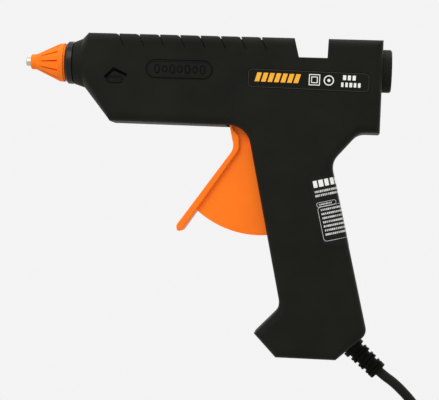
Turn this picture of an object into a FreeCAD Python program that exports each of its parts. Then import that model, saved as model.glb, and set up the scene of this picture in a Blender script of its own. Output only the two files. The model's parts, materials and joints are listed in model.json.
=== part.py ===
"""Hot-melt glue gun for 11 mm sticks: split housing, heated barrel, trigger and feed.

Millimetres. -X points to the nozzle, +X to the rear, +Z up, and the left side
is -Y. The origin is the middle of the hand grip. Every function below makes one
sub-part, and the table at the end writes each to its own STEP file.
"""
import FreeCAD, Part
import os
from math import sin, cos, tan, asin, atan2, hypot, radians, degrees, pi

V = FreeCAD.Vector

# ---------------------------------------------------------------- driving sizes
AXIS_Z = 86.5            # height of the glue stick's axis
HALF_W = 15.0            # housing's half width
WALL = 2.2               # housing's wall
EDGE_R = 4.2             # rounding along the housing's side edges
TOP_Z = 101.7            # top of the barrel
REAR_X = 36.7            # rear face of the barrel
STICK_R = 5.6            # glue stick's radius
NECK_X = -127.2          # front end of the housing's nose
NECK_R = 11.4            # radius of the nose there
SLANT_TOP = (-118.9, TOP_Z)      # the nose meets the barrel on a leaning plane
SLANT_FOOT = (-106.2, 55.4)
SWELL_TOP = (-123.1, 99.6)       # section between the round neck and that plane
SWELL_FOOT = (-121.6, 73.3)
PIVOT = (-25.6, 48.15)   # trigger pin, X and Z
WEB_R = 50.7             # trigger's lower edge is an arc about the pin
FEED_H = 28.0            # feed pin's height over the trigger pin
SWING = 40.0             # trigger's travel, degrees, half of it each side of upright
PIN_R = 2.0              # feed pin
SLOT_R = 2.3             # half width of the slots that drive it
FEED_X = PIVOT[0] + FEED_H * tan(radians(SWING / 2))     # feed pin at rest
CORD_D = 5.2

# Housing outline, clockwise seen from the left: X, Z and corner radius.
OUTLINE = [
    (-140.0, TOP_Z, 0), (REAR_X, TOP_Z, 0), (REAR_X - 0.4, 53.0, 0),
    (25.3, 53.0, 8.0), (11.6, 37.3, 10.0),
    (33.2, -52.0, 6.0), (17.2, -66.4, 0), (-14.3, -66.2, 0),
    (-26.0, -54.0, 0), (-12.6, -40.0, 8.5),
    (-33.3, 54.9, 11.5), (-140.0, 55.6, 0),
]
SADDLE = [(-10.4, 104.0), (-7.1, 91.1), (7.7, 91.1), (8.1, 104.0)]   # notch in the top
CHANNEL_R = STICK_R + 0.2       # stick's channel under that notch
RIB_COUNT, RIB_PITCH, RIB_X = 8, 10.76, -103.6        # slanting grooves on the top
SCREWS = [(-113.6, 68.6), (-70.0, 60.4), (-55.0, 97.6), (25.0, 96.8), (28.0, 62.0),
          (10.6, 52.6), (8.0, -16.0), (-12.0, -57.0)]
BOSS_R, SCREW_R, HEAD_R, HEAD_DEEP = 3.4, 1.4, 2.8, 5.0


# --------------------------------------------------------------------- helpers
def offset_outline(points, inset):
    """Move each side of a clockwise outline inwards; convex corners tighten."""
    lines, count = [], len(points)
    for i in range(count):
        (x0, z0, _), (x1, z1, _) = points[i], points[(i + 1) % count]
        length = hypot(x1 - x0, z1 - z0)
        dx, dz = (x1 - x0) / length, (z1 - z0) / length
        lines.append((x0 + dz * inset, z0 - dx * inset, dx, dz))
    moved = []
    for i in range(count):
        (ax, az, adx, adz), (bx, bz, bdx, bdz) = lines[i - 1], lines[i]
        cross = adx * bdz - adz * bdx
        step = ((bx - ax) * bdz - (bz - az) * bdx) / cross
        radius = points[i][2]
        if radius:
            radius = max(radius - inset, 0) if cross < 0 else radius + inset
        moved.append((ax + adx * step, az + adz * step, radius))
    return moved


def outline_wire(points, y=0.0):
    """Closed wire in the XZ plane with its corners rounded by tangent arcs."""
    ends, count = [], len(points)
    for i, (x, z, radius) in enumerate(points):
        (px, pz, _), (nx, nz, _) = points[i - 1], points[(i + 1) % count]
        here = V(x, y, z)
        if radius <= 0:
            ends.append((here, None, here))
            continue
        back, ahead = V(px, y, pz) - here, V(nx, y, nz) - here
        back.normalize()
        ahead.normalize()
        half = back.getAngle(ahead) / 2
        bisector = back + ahead
        bisector.normalize()
        reach = radius / tan(half)
        middle = here + bisector * (radius / sin(half) - radius)
        ends.append((here + back * reach, middle, here + ahead * reach))
    edges = []
    for i, (start, middle, end) in enumerate(ends):
        if middle is not None:
            edges.append(Part.Arc(start, middle, end).toShape())
        follow = ends[(i + 1) % count][0]
        if (follow - end).Length > 1e-4:
            edges.append(Part.makeLine(end, follow))
    return Part.Wire(edges)


def prism(points, y0, y1):
    """Extrude an XZ outline of (x, z) or (x, z, radius) points between two Y planes."""
    corners = [(p[0], p[1], p[2] if len(p) > 2 else 0) for p in points]
    return Part.Face(outline_wire(corners, y0)).extrude(V(0, y1 - y0, 0))


def box(x0, x1, y0, y1, z0, z1):
    return Part.makeBox(x1 - x0, y1 - y0, z1 - z0, V(x0, y0, z0))


def rod_x(radius, x0, x1, z=AXIS_Z, y=0.0):
    return Part.makeCylinder(radius, x1 - x0, V(x0, y, z), V(1, 0, 0))


def rod_y(radius, y0, y1, x, z):
    return Part.makeCylinder(radius, y1 - y0, V(x, y0, z), V(0, 1, 0))


def turned(profile):
    """Solid of revolution about the stick's axis from (x, radius) points."""
    points = [V(x, 0, AXIS_Z + r) for x, r in profile]
    face = Part.Face(Part.makePolygon(points + points[:1]))
    return face.revolve(V(0, 0, AXIS_Z), V(1, 0, 0), 360)


def fused(shapes):
    first, *rest = shapes
    return first.fuse(rest).removeSplitter() if rest else first


def largest(shape):
    return max(shape.Solids, key=lambda solid: solid.Volume)


def polar(radius, angle):
    """Point at a radius and an angle (degrees from +X to +Z) about the trigger pin."""
    return (PIVOT[0] + radius * cos(radians(angle)), PIVOT[1] + radius * sin(radians(angle)))


def routed_tube(points, diameter, name):
    """Round tube along straight runs joined by tangent arcs."""
    path, radii = [], []
    cursor = points[0]
    for i in range(1, len(points) - 1):
        corner = points[i]
        back, ahead = points[i - 1] - corner, points[i + 1] - corner
        run = min(back.Length, ahead.Length)
        back.normalize()
        ahead.normalize()
        half = back.getAngle(ahead) / 2
        reach = 0.45 * run
        radius = reach * tan(half)
        bisector = back + ahead
        bisector.normalize()
        start, end = corner + back * reach, corner + ahead * reach
        middle = corner + bisector * (radius / sin(half) - radius)
        path += [Part.makeLine(cursor, start), Part.Arc(start, middle, end).toShape()]
        cursor = end
        radii.append(radius)
    path.append(Part.makeLine(cursor, points[-1]))
    wire = Part.Wire(path)
    heading = points[1] - points[0]
    circle = Part.Wire(Part.makeCircle(diameter / 2, points[0], heading))
    tube = wire.makePipeShell([circle], True, True)
    expected = pi * diameter ** 2 / 4 * wire.Length
    print(f"{name}: length {wire.Length:.1f}, bend radii "
          f"{[round(r, 1) for r in radii]}, volume / expected {tube.Volume / expected:.3f}")
    return tube


# --------------------------------------------------------------------- housing
def leaning(top, foot):
    """Middle, tilt from upright and half height of a section between two side points."""
    dx, dz = top[0] - foot[0], top[1] - foot[1]
    return V((top[0] + foot[0]) / 2, 0, (top[1] + foot[1]) / 2), atan2(dx, dz), hypot(dx, dz) / 2


SLANT_MID, LEAN, SLANT_HALF = leaning(SLANT_TOP, SLANT_FOOT)


def half_section(centre, hw, hh, corner, lean, side):
    """Half of a rounded rectangle across the barrel, closed along the middle plane."""
    up, out = V(sin(lean), 0, cos(lean)), V(0, side, 0)
    points = [centre + up * hh]
    arcs = []
    for sign in (1, -1):
        hub = centre + out * (hw - corner) + up * (sign * (hh - corner))
        a, b = (up * corner, out * corner) if sign > 0 else (out * corner, up * -corner)
        arcs.append((hub + a, hub + (a + b) * (1 / 2 ** 0.5), hub + b))
    last = centre - up * hh
    edges = [Part.makeLine(points[0], arcs[0][0]), Part.Arc(*arcs[0]).toShape(),
             Part.makeLine(arcs[0][2], arcs[1][0]), Part.Arc(*arcs[1]).toShape(),
             Part.makeLine(arcs[1][2], last), Part.makeLine(last, points[0])]
    return Part.Wire(edges)


def nose_sections(inset, side):
    """Sections of the nose: the round neck, a wider one, and the leaning plane."""
    neck_r = NECK_R - inset
    neck = half_section(V(NECK_X + 0.6 * inset, 0, AXIS_Z), neck_r, neck_r, neck_r - 0.05, 0, side)
    middle, tilt, half = leaning(SWELL_TOP, SWELL_FOOT)
    width = 12.7 - inset
    swell = half_section(middle, width, half - inset, width - 0.05, tilt, side)
    hw, hh = HALF_W - inset - 0.1, SLANT_HALF - 1.03 * inset - 0.12     # a fine step there
    last = half_section(SLANT_MID, hw, hh, EDGE_R - inset, LEAN, side)
    return [neck, swell, last]


def housing_solid(inset, side):
    """One half of the gun's outer form, moved inwards by the inset."""
    half = HALF_W - inset
    body = prism(offset_outline(OUTLINE, inset), 0, side * half)
    radius = EDGE_R - inset
    rims = [e for e in body.Edges if all(abs(abs(v.Y) - half) < 1e-6 for v in e.Vertexes)]
    body = body.makeFillet(radius, rims)
    front = Part.makeBox(80, 60, 160, V(-80, -30, -80))
    front.rotate(V(0, 0, 0), V(0, 1, 0), degrees(LEAN))
    front.translate(SLANT_MID)
    body = body.cut(front)
    return body.fuse(Part.makeLoft(nose_sections(inset, side), True, True))


def top_grooves(limit):
    """Slanting saw-tooth grooves over the top edge, cut no deeper than the limit solid."""
    tools = []
    for i in range(RIB_COUNT):
        x = RIB_X + i * RIB_PITCH
        tools.append(prism([(x - 0.9, 104), (x - 0.9, TOP_Z), (x + 0.7, TOP_Z - 0.6),
                            (x + 3.7, TOP_Z - 6.8), (x + 4.3, TOP_Z - 6.8),
                            (x + 1.3, TOP_Z - 0.6), (x + 1.6, TOP_Z), (x + 1.6, 104)], -20, 20))
    return tools[0].fuse(tools[1:]).cut(limit)


def saddle_tool(inset, y0, y1):
    """The saddle notch in the top of the barrel, grown by the inset."""
    (x0, z0), (x1, z1), (x2, z2), (x3, z3) = SADDLE
    return prism([(x0 - inset, z0), (x1 - inset, z1 - inset), (x2 + inset, z2 - inset),
                  (x3 + inset, z3)], y0, y1)


def trigger_slot():
    """Opening in the front of the grip for the trigger's web, hub and side arms."""
    wide = prism([(-44.8, 60), (-44.8, 52), (-34.5, 38), (-22.6, 38), (-22.6, 60)], -11.2, 11.2)
    web = prism([(-40, 40), (-30, -3.6), (-14, -3.6), (-23.0, 40)], -6.5, 6.5)
    return wide.fuse(web)


def label_recess():
    """Shallow rounded pocket for the side label, on the left."""
    return prism(label_outline(0.0), -HALF_W - 1, -HALF_W + 0.5)


def label_outline(margin):
    return [(-33.8 + margin, 85.1 - margin, 2.4), (30.6 - margin, 84.0 - margin, 2.4),
            (29.9 - margin, 73.7 + margin, 2.4), (-33.8 + margin, 74.8 + margin, 2.4)]


def bosses(side):
    """Screw pillars, the trigger pin's seat and the feed's guide rails of one half."""
    inner = HALF_W - WALL + 0.2
    y0, y1 = (-inner, 0.0) if side < 0 else (0.0, inner)
    parts = [rod_y(BOSS_R, y0, y1, x, z) for x, z in SCREWS]
    seat0, seat1 = (-inner, -11.1) if side < 0 else (11.1, inner)
    parts.append(rod_y(5.2, seat0, seat1, *PIVOT))
    rail0, rail1 = (-inner, -7.8) if side < 0 else (7.8, inner)
    for low, high in ((86.2, 88.4), (91.8, 94.0)):
        parts.append(box(-61, -12.4, rail0, rail1, low, high))
    if side > 0:
        parts += [rod_y(2.6, 0.0, inner, x, z) for x, z in CLAMP_SCREWS]
        parts.append(rod_y(2.0, CORD_D / 2, inner, 19.3, -53.6))
        parts.append(rod_y(2.6, 11.6, inner, *SPRING_FOOT))
    return parts


def relief_frame():
    """Middle of the strain relief's collar on the grip's heel, and its direction."""
    return V(25.1, 0, -58.8), V(cos(radians(-42)), 0, sin(radians(-42)))


SPRING_X = PIVOT[0] + 11.3                    # the return spring hangs upright here
SPRING_LUG = polar(12.0, -20.0)               # its upper end on the trigger
SPRING_FOOT = (SPRING_X, 14.0)                # its lower end on the right half
SPRING_Y = 9.6
CLAMP_SCREWS = [(24.0, -48.4), (14.6, -58.8)]  # cord clamp, either side of the cord


def housing_half(side):
    """One half shell: -1 is the left, with blind pillars; +1 takes the screws."""
    outer, hollow = housing_solid(0.0, side), housing_solid(WALL, side)
    outer = outer.cut(top_grooves(housing_solid(1.3, side)))
    outer = outer.cut(saddle_tool(0.0, -20, 20).cut(rod_x(CHANNEL_R + 0.5, -20, 20)))
    hollow = hollow.cut(saddle_tool(WALL, -20, 20))
    shell = outer.cut(hollow)
    shell = shell.fuse([p.common(outer) for p in bosses(side)])
    cuts = [trigger_slot(),
            rod_x(CHANNEL_R, -20, 30),
            rod_x(6.6, NECK_X - 5, NECK_X + 8),
            rod_x(9.0, 29, 50),
            rod_y(3.0, -13.4, 13.4, *PIVOT)]
    start, way = relief_frame()
    cuts.append(Part.makeCylinder(4.6, 16, start - way * 10, way))
    if side < 0:
        cuts += [rod_y(SCREW_R, -9.0, 1.0, x, z) for x, z in SCREWS]
        cuts += [label_recess()]
    else:
        cuts += [rod_y(SCREW_R, -1.0, 30, x, z) for x, z in SCREWS]
        cuts += [rod_y(HEAD_R + 0.2, HALF_W - HEAD_DEEP, 30, x, z) for x, z in SCREWS]
        cuts += [rod_y(1.1, -1.0, 9.0, x, z) for x, z in CLAMP_SCREWS]
    shell = shell.cut(cuts)
    if side < 0:
        shell = shell.fuse(side_relief())
    return largest(shell)


def capsule(x, z, length, height, depth):
    """Flat stadium standing out of the left side."""
    corner = min(length, height) / 2 - 0.01
    return prism([(x + sx * length / 2, z + sz * height / 2, corner)
                  for sx, sz in ((-1, 1), (1, 1), (1, -1), (-1, -1))],
                 -HALF_W - depth, -HALF_W + 0.3)


def side_relief():
    """Raised ornament of the left side: a capsule of plain bars, and a chevron on an oval."""
    frame = capsule(-69.8, 83.3, 35.2, 9.8, 0.3).cut(capsule(-69.8, 83.3, 33.4, 8.0, 1.0))
    bars = [capsule(-81.4 + 4.0 * i, 83.3, 2.6, 4.6 - 1.2 * (i % 2), 0.25) for i in range(7)]
    oval = capsule(-103.7, 77.0, 8.6, 3.6, 0.3).cut(capsule(-103.7, 77.0, 6.8, 1.8, 1.0))
    chevron = prism([(-109.4, 78.6), (-104.4, 83.4), (-97.2, 80.0), (-97.6, 78.8),
                     (-104.2, 81.8), (-108.6, 77.6)], -HALF_W - 0.3, -HALF_W + 0.3)
    return [frame, oval, chevron] + bars


# ------------------------------------------------------------- rings and nozzle
def nose_collar():
    """Dark ring between the nose and the nozzle cap."""
    return turned([(-131.8, 6.7), (-131.8, 10.1), (-130.5, 11.35), (-127.9, 11.35),
                   (NECK_X, 10.5), (NECK_X, 6.7)])


def rear_guide_ring():
    """Ring in the rear wall that the stick goes in through."""
    return turned([(29.5, 6.1), (29.5, 7.6), (31.0, 9.0), (REAR_X, 9.0), (REAR_X, 11.35),
                   (40.9, 11.35), (41.6, 10.65), (41.6, 7.0), (40.7, 6.1)])


def nozzle():
    """Metal nozzle on the chamber's neck, with a fine outlet."""
    return turned([(-153.8, 0.9), (-153.8, 1.9), (-153.4, 2.3), (-149.0, 2.3), (-146.4, 3.2),
                   (-140.0, 5.6), (-133.5, 5.6), (-133.5, 1.8), (-146.0, 1.8), (-148.5, 0.9)])


def nozzle_cap():
    """Soft heat shield over the nozzle, with twelve wedge grooves."""
    cap = turned([(-151.1, 2.3), (-151.1, 3.6), (-150.6, 4.0), (-148.3, 4.1), (-135.4, 10.15),
                  (-132.9, 10.3), (-132.9, 9.4), (-131.85, 9.4), (-131.85, 6.05),
                  (-133.5, 6.05), (-133.5, 5.6), (-140.0, 5.6), (-146.4, 3.2), (-149.0, 2.3)])
    groove = wedge_groove()
    for i in range(12):
        tool = groove.copy()
        tool.rotate(V(0, 0, AXIS_Z), V(1, 0, 0), 30 * i)
        cap = cap.cut(tool)
    return cap


def wedge_groove():
    """Wedge lying on the cap's cone: a point in front, 1.2 mm wide and 0.6 deep behind."""
    tip, back = V(-146.5, 0, AXIS_Z + 4.85), V(-135.6, 0, AXIS_Z + 10.1)
    lift, sink = V(-0.42, 0, 0.9) * 1.2, V(-0.42, 0, 0.9) * -0.75
    corners = [tip + lift, back + lift + V(0, 0.9, 0), back + lift - V(0, 0.9, 0)]
    top = Part.makePolygon(corners + corners[:1])
    low = [tip + sink * 0.3, back + sink + V(0, 0.45, 0), back + sink - V(0, 0.45, 0)]
    bottom = Part.makePolygon(low + low[:1])
    return Part.makeLoft([bottom, top], True, True)


# ------------------------------------------------------------- heated barrel
CHAMBER_REAR = -74.0


def melt_chamber():
    """Cast chamber that melts the stick, with a flat pad for the heater."""
    body = turned([(-133.5, 1.8), (-133.5, 6.0), (-124.6, 6.0), (-124.6, 9.0), (CHAMBER_REAR - 6, 9.0),
                   (CHAMBER_REAR - 6, 7.4), (CHAMBER_REAR, 7.4), (CHAMBER_REAR, 6.0),
                   (-108.0, 5.9), (-119.0, 1.8)])
    pad = box(-112, -84, -6.6, 6.6, 77.0, AXIS_Z).cut(rod_x(8.5, -113, -83))
    return body.fuse(pad).removeSplitter()


def ptc_heater():
    return box(-111, -85, -6.0, 6.0, 73.6, 77.0)


def heater_insulation():
    return box(-111.5, -84.5, -6.3, 6.3, 73.1, 73.6)


def heater_clip():
    """Spring channel that holds the heater against the pad."""
    floor = box(-106, -90, -8.0, 8.0, 72.3, 73.1)
    walls = [box(-106, -90, s * 7.4 - 0.6, s * 7.4 + 0.6, 73.1, 81.0) for s in (-1, 1)]
    walls = [w.cut(rod_x(9.05, -107, -89)) for w in walls]
    return floor.fuse(walls).removeSplitter()


def inlet_sleeve():
    """Heat-proof sleeve that seals the stick into the chamber."""
    rear = CHAMBER_REAR
    return turned([(rear - 6, 7.4), (rear - 6, 9.2), (rear + 6, 9.2), (rear + 12, 7.4),
                   (rear + 12, 6.2), (rear + 10, 5.8), (rear + 4, 6.0), (rear, 6.0), (rear, 7.4)])


def sleeve_clamp():
    ring = rod_x(10.1, CHAMBER_REAR - 4.6, CHAMBER_REAR - 1.4)
    ear = box(CHAMBER_REAR - 4.6, CHAMBER_REAR - 1.4, -2.0, 2.0, AXIS_Z - 13.0, AXIS_Z - 9.0)
    return ring.fuse(ear).cut(rod_x(9.2, -100, -50)).removeSplitter()


def chamber_support(x0, x1, low, high):
    """Plate across the inside of the housing that carries the hot chamber."""
    block = box(x0, x1, -14, 14, low, high)
    plate = fused([block.common(housing_solid(WALL, side)) for side in (-1, 1)])
    return plate.cut([rod_x(9.0, x0 - 1, x1 + 1), box(x0 - 1, x1 + 1, -8.6, 8.6, low - 1, 77.2)])


# --------------------------------------------------------------------- trigger
def trigger():
    """Finger lever with its web, hub, and two slotted arms that drive the feed."""
    flange = prism([(-43.2, 57.2, 0.8), (-39.9, 43.0, 7), (-69.2, 1.3, 2.0), (-68.6, -2.4, 1.2),
                    (-65.9, -0.8, 1.2), (-37.0, 42.6, 6), (-37.4, 49.6, 3), (-40.8, 53.0, 2),
                    (-41.0, 57.2, 0.8)], -8.5, 8.5)
    rims = [e for e in flange.Edges if all(abs(abs(v.Y) - 8.5) < 1e-6 for v in e.Vertexes)]
    flange = flange.makeFillet(0.7, rims)
    hub = rod_y(6.2, -10.8, 10.8, *PIVOT)
    web = web_plate()
    arms = []
    for low in (-10.8, 8.2):
        arm = box(0, 29.9, low, low + 2.6, -4.7, 4.7).fuse(rod_y(4.7, low, low + 2.6, 29.9, 0))
        slot = fused([rod_y(SLOT_R, low, low + 2.6, 27.9, 0), rod_y(SLOT_R, low, low + 2.6, 29.9, 0),
                      box(27.9, 29.9, low, low + 2.6, -SLOT_R, SLOT_R)])
        arm = arm.cut(slot)
        arm.rotate(V(0, 0, 0), V(0, 1, 0), -(90 - SWING / 2))
        arm.translate(V(PIVOT[0], 0, PIVOT[1]))
        arms.append(arm)
    lug = rod_y(1.2, 5.0, 11.4, *SPRING_LUG)
    root = rod_y(2.4, -6.0, 6.9, *SPRING_LUG)
    whole = fused([flange, web, hub, root, lug] + arms)
    return whole.cut(rod_y(3.05, -15, 15, *PIVOT))


def web_plate():
    """Thick web behind the finger lever, bounded below by an arc about the pin."""
    start, end = -132.6, -80.0
    mid = polar(WEB_R, (start + end) / 2)
    a, b = polar(WEB_R, start), polar(WEB_R, end)
    arc = Part.Arc(V(a[0], -6, a[1]), V(mid[0], -6, mid[1]), V(b[0], -6, b[1])).toShape()
    rest = [V(b[0], -6, b[1]), V(-11.6, -6, 42.6), V(-12.4, -6, 46.6), V(-22.0, -6, 53.4),
            V(-30.0, -6, 57.0), V(-42.0, -6, 57.0), V(-41.0, -6, 51.0), V(-39.0, -6, 44.0),
            V(-45.0, -6, 33.5), V(a[0], -6, a[1])]
    edges = [arc] + [Part.makeLine(p, q) for p, q in zip(rest, rest[1:])]
    return Part.Face(Part.Wire(edges)).extrude(V(0, 12, 0))


def trigger_pin():
    return rod_y(3.0, -13.4, 13.4, *PIVOT)


def return_spring():
    """Extension spring: a close-wound coil with an eye round the lug and the post."""
    top, foot = SPRING_LUG[1], SPRING_FOOT[1]
    wire_r, coil_r, eye_r = 0.4, 2.4, 1.9
    valley, bore, cap = coil_r - 0.25, coil_r - 0.8, 0.6
    low, high = foot + eye_r + 1.0, top - eye_r - 1.0
    turns = int((high - low) / (2 * wire_r))
    pitch = (high - low) / turns
    edges = []
    for i in range(turns):
        z = low + i * pitch
        edges.append(Part.Arc(V(valley, 0, z), V(coil_r, 0, z + pitch / 2),
                              V(valley, 0, z + pitch)).toShape())
    inside = [V(valley, 0, high), V(0, 0, high), V(0, 0, high - cap), V(bore, 0, high - cap),
              V(bore, 0, low + cap), V(0, 0, low + cap), V(0, 0, low), V(valley, 0, low)]
    edges += [Part.makeLine(p, q) for p, q in zip(inside, inside[1:])]
    coil = Part.Face(Part.Wire(Part.__sortEdges__(edges))).revolve(V(0, 0, 0), V(0, 0, 1), 360)
    coil.translate(V(SPRING_X, SPRING_Y, 0))
    pieces = [coil]
    for z, stem in ((top, high - 0.3), (foot, foot + eye_r - 0.2)):
        pieces.append(Part.makeTorus(eye_r, wire_r, V(SPRING_X, SPRING_Y, z), V(0, 1, 0)))
        pieces.append(Part.makeCylinder(wire_r - 0.05, 1.5, V(SPRING_X, SPRING_Y, stem), V(0, 0, 1)))
    return fused(pieces)


def spring_post():
    """Small screw that holds the return spring's foot."""
    x, z = SPRING_FOOT
    return rod_y(1.2, 7.9, 11.6, x, z).fuse(rod_y(2.0, 7.2, 7.9, x, z)).removeSplitter()


# ------------------------------------------------------------------ stick feed
CARRIAGE = (-38.0, -12.9)       # front and rear ends at rest
JAW_PIVOT = (-21.5, 75.4)


def feed_carriage():
    """Block round the stick that slides on the housing's rails."""
    front, rear = CARRIAGE
    body = prism([(front, 94.0, 2), (rear, 94.0, 2), (rear, 72.8, 2), (-26.0, 72.8, 1),
                  (front, 77.5, 2)], -7.5, 7.5)
    tongue = box(front, rear, -10.2, 10.2, 88.8, 91.4)
    body = body.fuse(tongue)
    body = body.cut([rod_x(6.5, front - 1, rear + 1),
                     box(front - 1, -19.0, -2.9, 2.9, 70.0, AXIS_Z),
                     rod_y(PIN_R, -20, 20, FEED_X, PIVOT[1] + FEED_H),
                     rod_y(1.0, -6.0, 6.0, *JAW_PIVOT)])
    return body.removeSplitter()


def feed_pin():
    """Cross pin that the trigger's slots push."""
    return rod_y(PIN_R, -11.4, 11.4, FEED_X, PIVOT[1] + FEED_H)


def gripper_jaw():
    """Toothed dog that bites the stick from below."""
    x, z = JAW_PIVOT
    teeth = [(-36.6 + 1.6 * i, 79.0 + 0.9 * (j == 0)) for i in range(4) for j in (0, 1)]
    top = [(tx + (0.0 if i % 2 == 0 else 0.5), tz) for i, (tx, tz) in enumerate(teeth)]
    points = [(x + 2.0, z + 1.6), (x + 2.0, z - 1.8), (x - 3, z - 1.6), (-36.6, 77.6)]
    points += top + [(-29.6, 78.6)]
    body = prism(points[::-1], -2.4, 2.4)
    return body.cut(rod_y(1.05, -5, 5, x, z))


def jaw_pin():
    return rod_y(1.0, -6.0, 6.0, *JAW_PIVOT)


# -------------------------------------------------------- screws, cord and wires
def housing_screws():
    """Self-tapping screws, heads sunk in the right half."""
    screws = []
    for x, z in SCREWS:
        head = rod_y(HEAD_R, HALF_W - HEAD_DEEP, HALF_W - HEAD_DEEP + 2.0, x, z)
        shank = rod_y(SCREW_R, -8.5, HALF_W - HEAD_DEEP, x, z)
        cross = fused([box(x - 1.7, x + 1.7, 10.9, 13, z - 0.35, z + 0.35),
                       box(x - 0.35, x + 0.35, 10.9, 13, z - 1.7, z + 1.7)])
        screws.append(head.fuse(shank).cut(cross))
    return Part.makeCompound(screws)


def strain_relief():
    """Ribbed flexible sleeve: a collar, then three pairs of rings on a thin core."""
    start, way = relief_frame()
    pieces = [Part.makeCylinder(4.6, 7.0, start - way * 5.0, way),
              Part.makeCylinder(6.0, 2.4, start + way * 1.2, way)]
    pieces.append(Part.makeCone(4.3, 3.9, 16.4, start + way * 3.6, way))
    for block in range(3):
        radius = 5.45 - 0.2 * block
        for ring in range(2):
            at = 5.6 + 5.0 * block + 2.0 * ring
            pieces.append(Part.makeCylinder(radius, 1.1, start + way * at, way))
        for side in (-1, 1):
            bridge = box(0, 3.1, -1.6, 1.6, 0, radius - 0.4)
            if side < 0:
                bridge.rotate(V(0, 0, 0), V(1, 0, 0), 180)
            bridge.rotate(V(0, 0, 0), V(0, 1, 0), 42)
            bridge.translate(start + way * (5.6 + 5.0 * block))
            pieces.append(bridge)
    pieces.append(Part.makeCylinder(5.0, 1.4, start + way * 18.8, way))
    sleeve = fused(pieces)
    return sleeve.cut(Part.makeCylinder(CORD_D / 2, 40, start - way * 10, way))


HANK_X, HANK_Z = 57.1, -157.6     # middle of the tied hank, hanging below the grip
FOLD_R, HALF_RUN = 3 * CORD_D, 30.0            # folds and half of the runs between them
WAIST, LAYERS, LAYER = 7.0, 5, 5.3             # tied width, turns side by side, their pitch
SWELL_R = (HALF_RUN ** 2 + (FOLD_R - WAIST) ** 2) / (4 * (FOLD_R - WAIST))
TAIL_X = HANK_X - 3 * FOLD_R                   # the plug's lead comes down here
PLUG_Y, PLUG_TOP = -6.0, -139.0


def cord_route():
    """Out of the grip's heel, down in one easy curve, to the first run of the hank."""
    start, way = relief_frame()
    side = (LAYERS - 1) / 2 * LAYER
    return [start - way * 14.0, V(41.6, 0, -73.7), V(48.9, 0, -78.0), V(60.4, 0.6, -89.6),
            V(68.5, 3.4, -103.6), V(72.4, 7.6, -118.0), V(HANK_X + FOLD_R, side, -130.0)]


def cord():
    return largest(routed_tube(cord_route(), CORD_D, "cord").cut(hank_block(0.0)))


def hank_loop(offset):
    """One turn of the hank as a closed wire: two folds, and runs drawn in by the tie."""
    bow, edges = asin(HALF_RUN / 2 / SWELL_R), []
    for sx, sz in ((1, 1), (1, -1), (-1, -1), (-1, 1)):
        def at(cx, cz, r, angle):
            return V(HANK_X + sx * (cx + r * cos(angle)), 0, HANK_Z + sz * (cz + r * sin(angle)))
        fold = [at(0, HALF_RUN, FOLD_R + offset, a) for a in (pi / 2, pi / 4, 0)]
        out = [at(FOLD_R - SWELL_R, HALF_RUN, SWELL_R + offset, a) for a in (0, -bow / 2, -bow)]
        drawn = [at(WAIST + SWELL_R, 0, SWELL_R - offset, pi - a) for a in (bow, bow / 2, 0)]
        edges += [Part.Arc(*three).toShape() for three in (fold, out, drawn)]
    return Part.Wire(Part.__sortEdges__(edges))


def hank_block(hollow):
    """Outer form of the hank, or the space inside its turns."""
    half = LAYERS * LAYER / 2 + (2 if hollow else 0)
    wire = hank_loop(-CORD_D / 2 if hollow else CORD_D / 2)
    wire.translate(V(0, -half, 0))
    return Part.Face(wire).extrude(V(0, 2 * half, 0))


def cord_hank():
    """Folded spare length of the cord."""
    return hank_block(0.0).cut(hank_block(1.0))


def hank_tie():
    """Strap round the hank's waist."""
    x, y = WAIST + CORD_D / 2, LAYERS * LAYER / 2
    band = box(HANK_X - x - 1.0, HANK_X + x + 1.0, -y - 1.0, y + 1.0, HANK_Z - 5, HANK_Z + 5)
    uprights = [e for e in band.Edges if abs(e.Vertexes[0].Z - e.Vertexes[1].Z) > 5]
    band = band.makeFillet(1.5, uprights)
    inside = box(HANK_X - x, HANK_X + x, -y, y, HANK_Z - 9, HANK_Z + 9)
    return band.cut(inside).cut(hank_block(0.0))


def cord_tail():
    """Last length of cord, over from the hank's top and down to the plug."""
    top, side = HANK_Z + HALF_RUN, -(LAYERS - 1) / 2 * LAYER
    middle = (HANK_X - FOLD_R + TAIL_X) / 2
    rise = FOLD_R * tan(pi / 8)
    route = [V(HANK_X - FOLD_R + 1.0, side, top - 12), V(HANK_X - FOLD_R, side, top + rise),
             V(middle + rise, side + 1.0, top + FOLD_R), V(middle - rise, side + 2.6, top + FOLD_R),
             V(TAIL_X, PLUG_Y, top + rise), V(TAIL_X, PLUG_Y, PLUG_TOP)]
    return largest(routed_tube(route, CORD_D, "cord_tail").cut(hank_block(0.0)))


def plug_body():
    """Flat two-pin plug with a ribbed neck, hanging pins down."""
    top = PLUG_TOP - 10
    body = prism([(TAIL_X - 9, top, 3), (TAIL_X + 9, top, 3), (TAIL_X + 12, top - 9, 10),
                  (TAIL_X + 17.5, top - 20, 8), (TAIL_X + 17.5, top - 33, 1.2),
                  (TAIL_X - 17.5, top - 33, 1.2), (TAIL_X - 17.5, top - 20, 8),
                  (TAIL_X - 12, top - 9, 10)], PLUG_Y - 6.8, PLUG_Y + 6.8)
    rims = [e for e in body.Edges if all(abs(abs(v.Y - PLUG_Y) - 6.8) < 1e-6 for v in e.Vertexes)]
    body = body.makeFillet(1.0, rims)
    at = V(TAIL_X, PLUG_Y, top - 1)
    neck = [Part.makeCone(4.4, 3.4, 11, at, V(0, 0, 1))]
    neck += [Part.makeCylinder(4.7 - 0.25 * i, 1.2, at + V(0, 0, 2.2 + 2.4 * i)) for i in range(4)]
    return fused([body] + neck)


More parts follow.
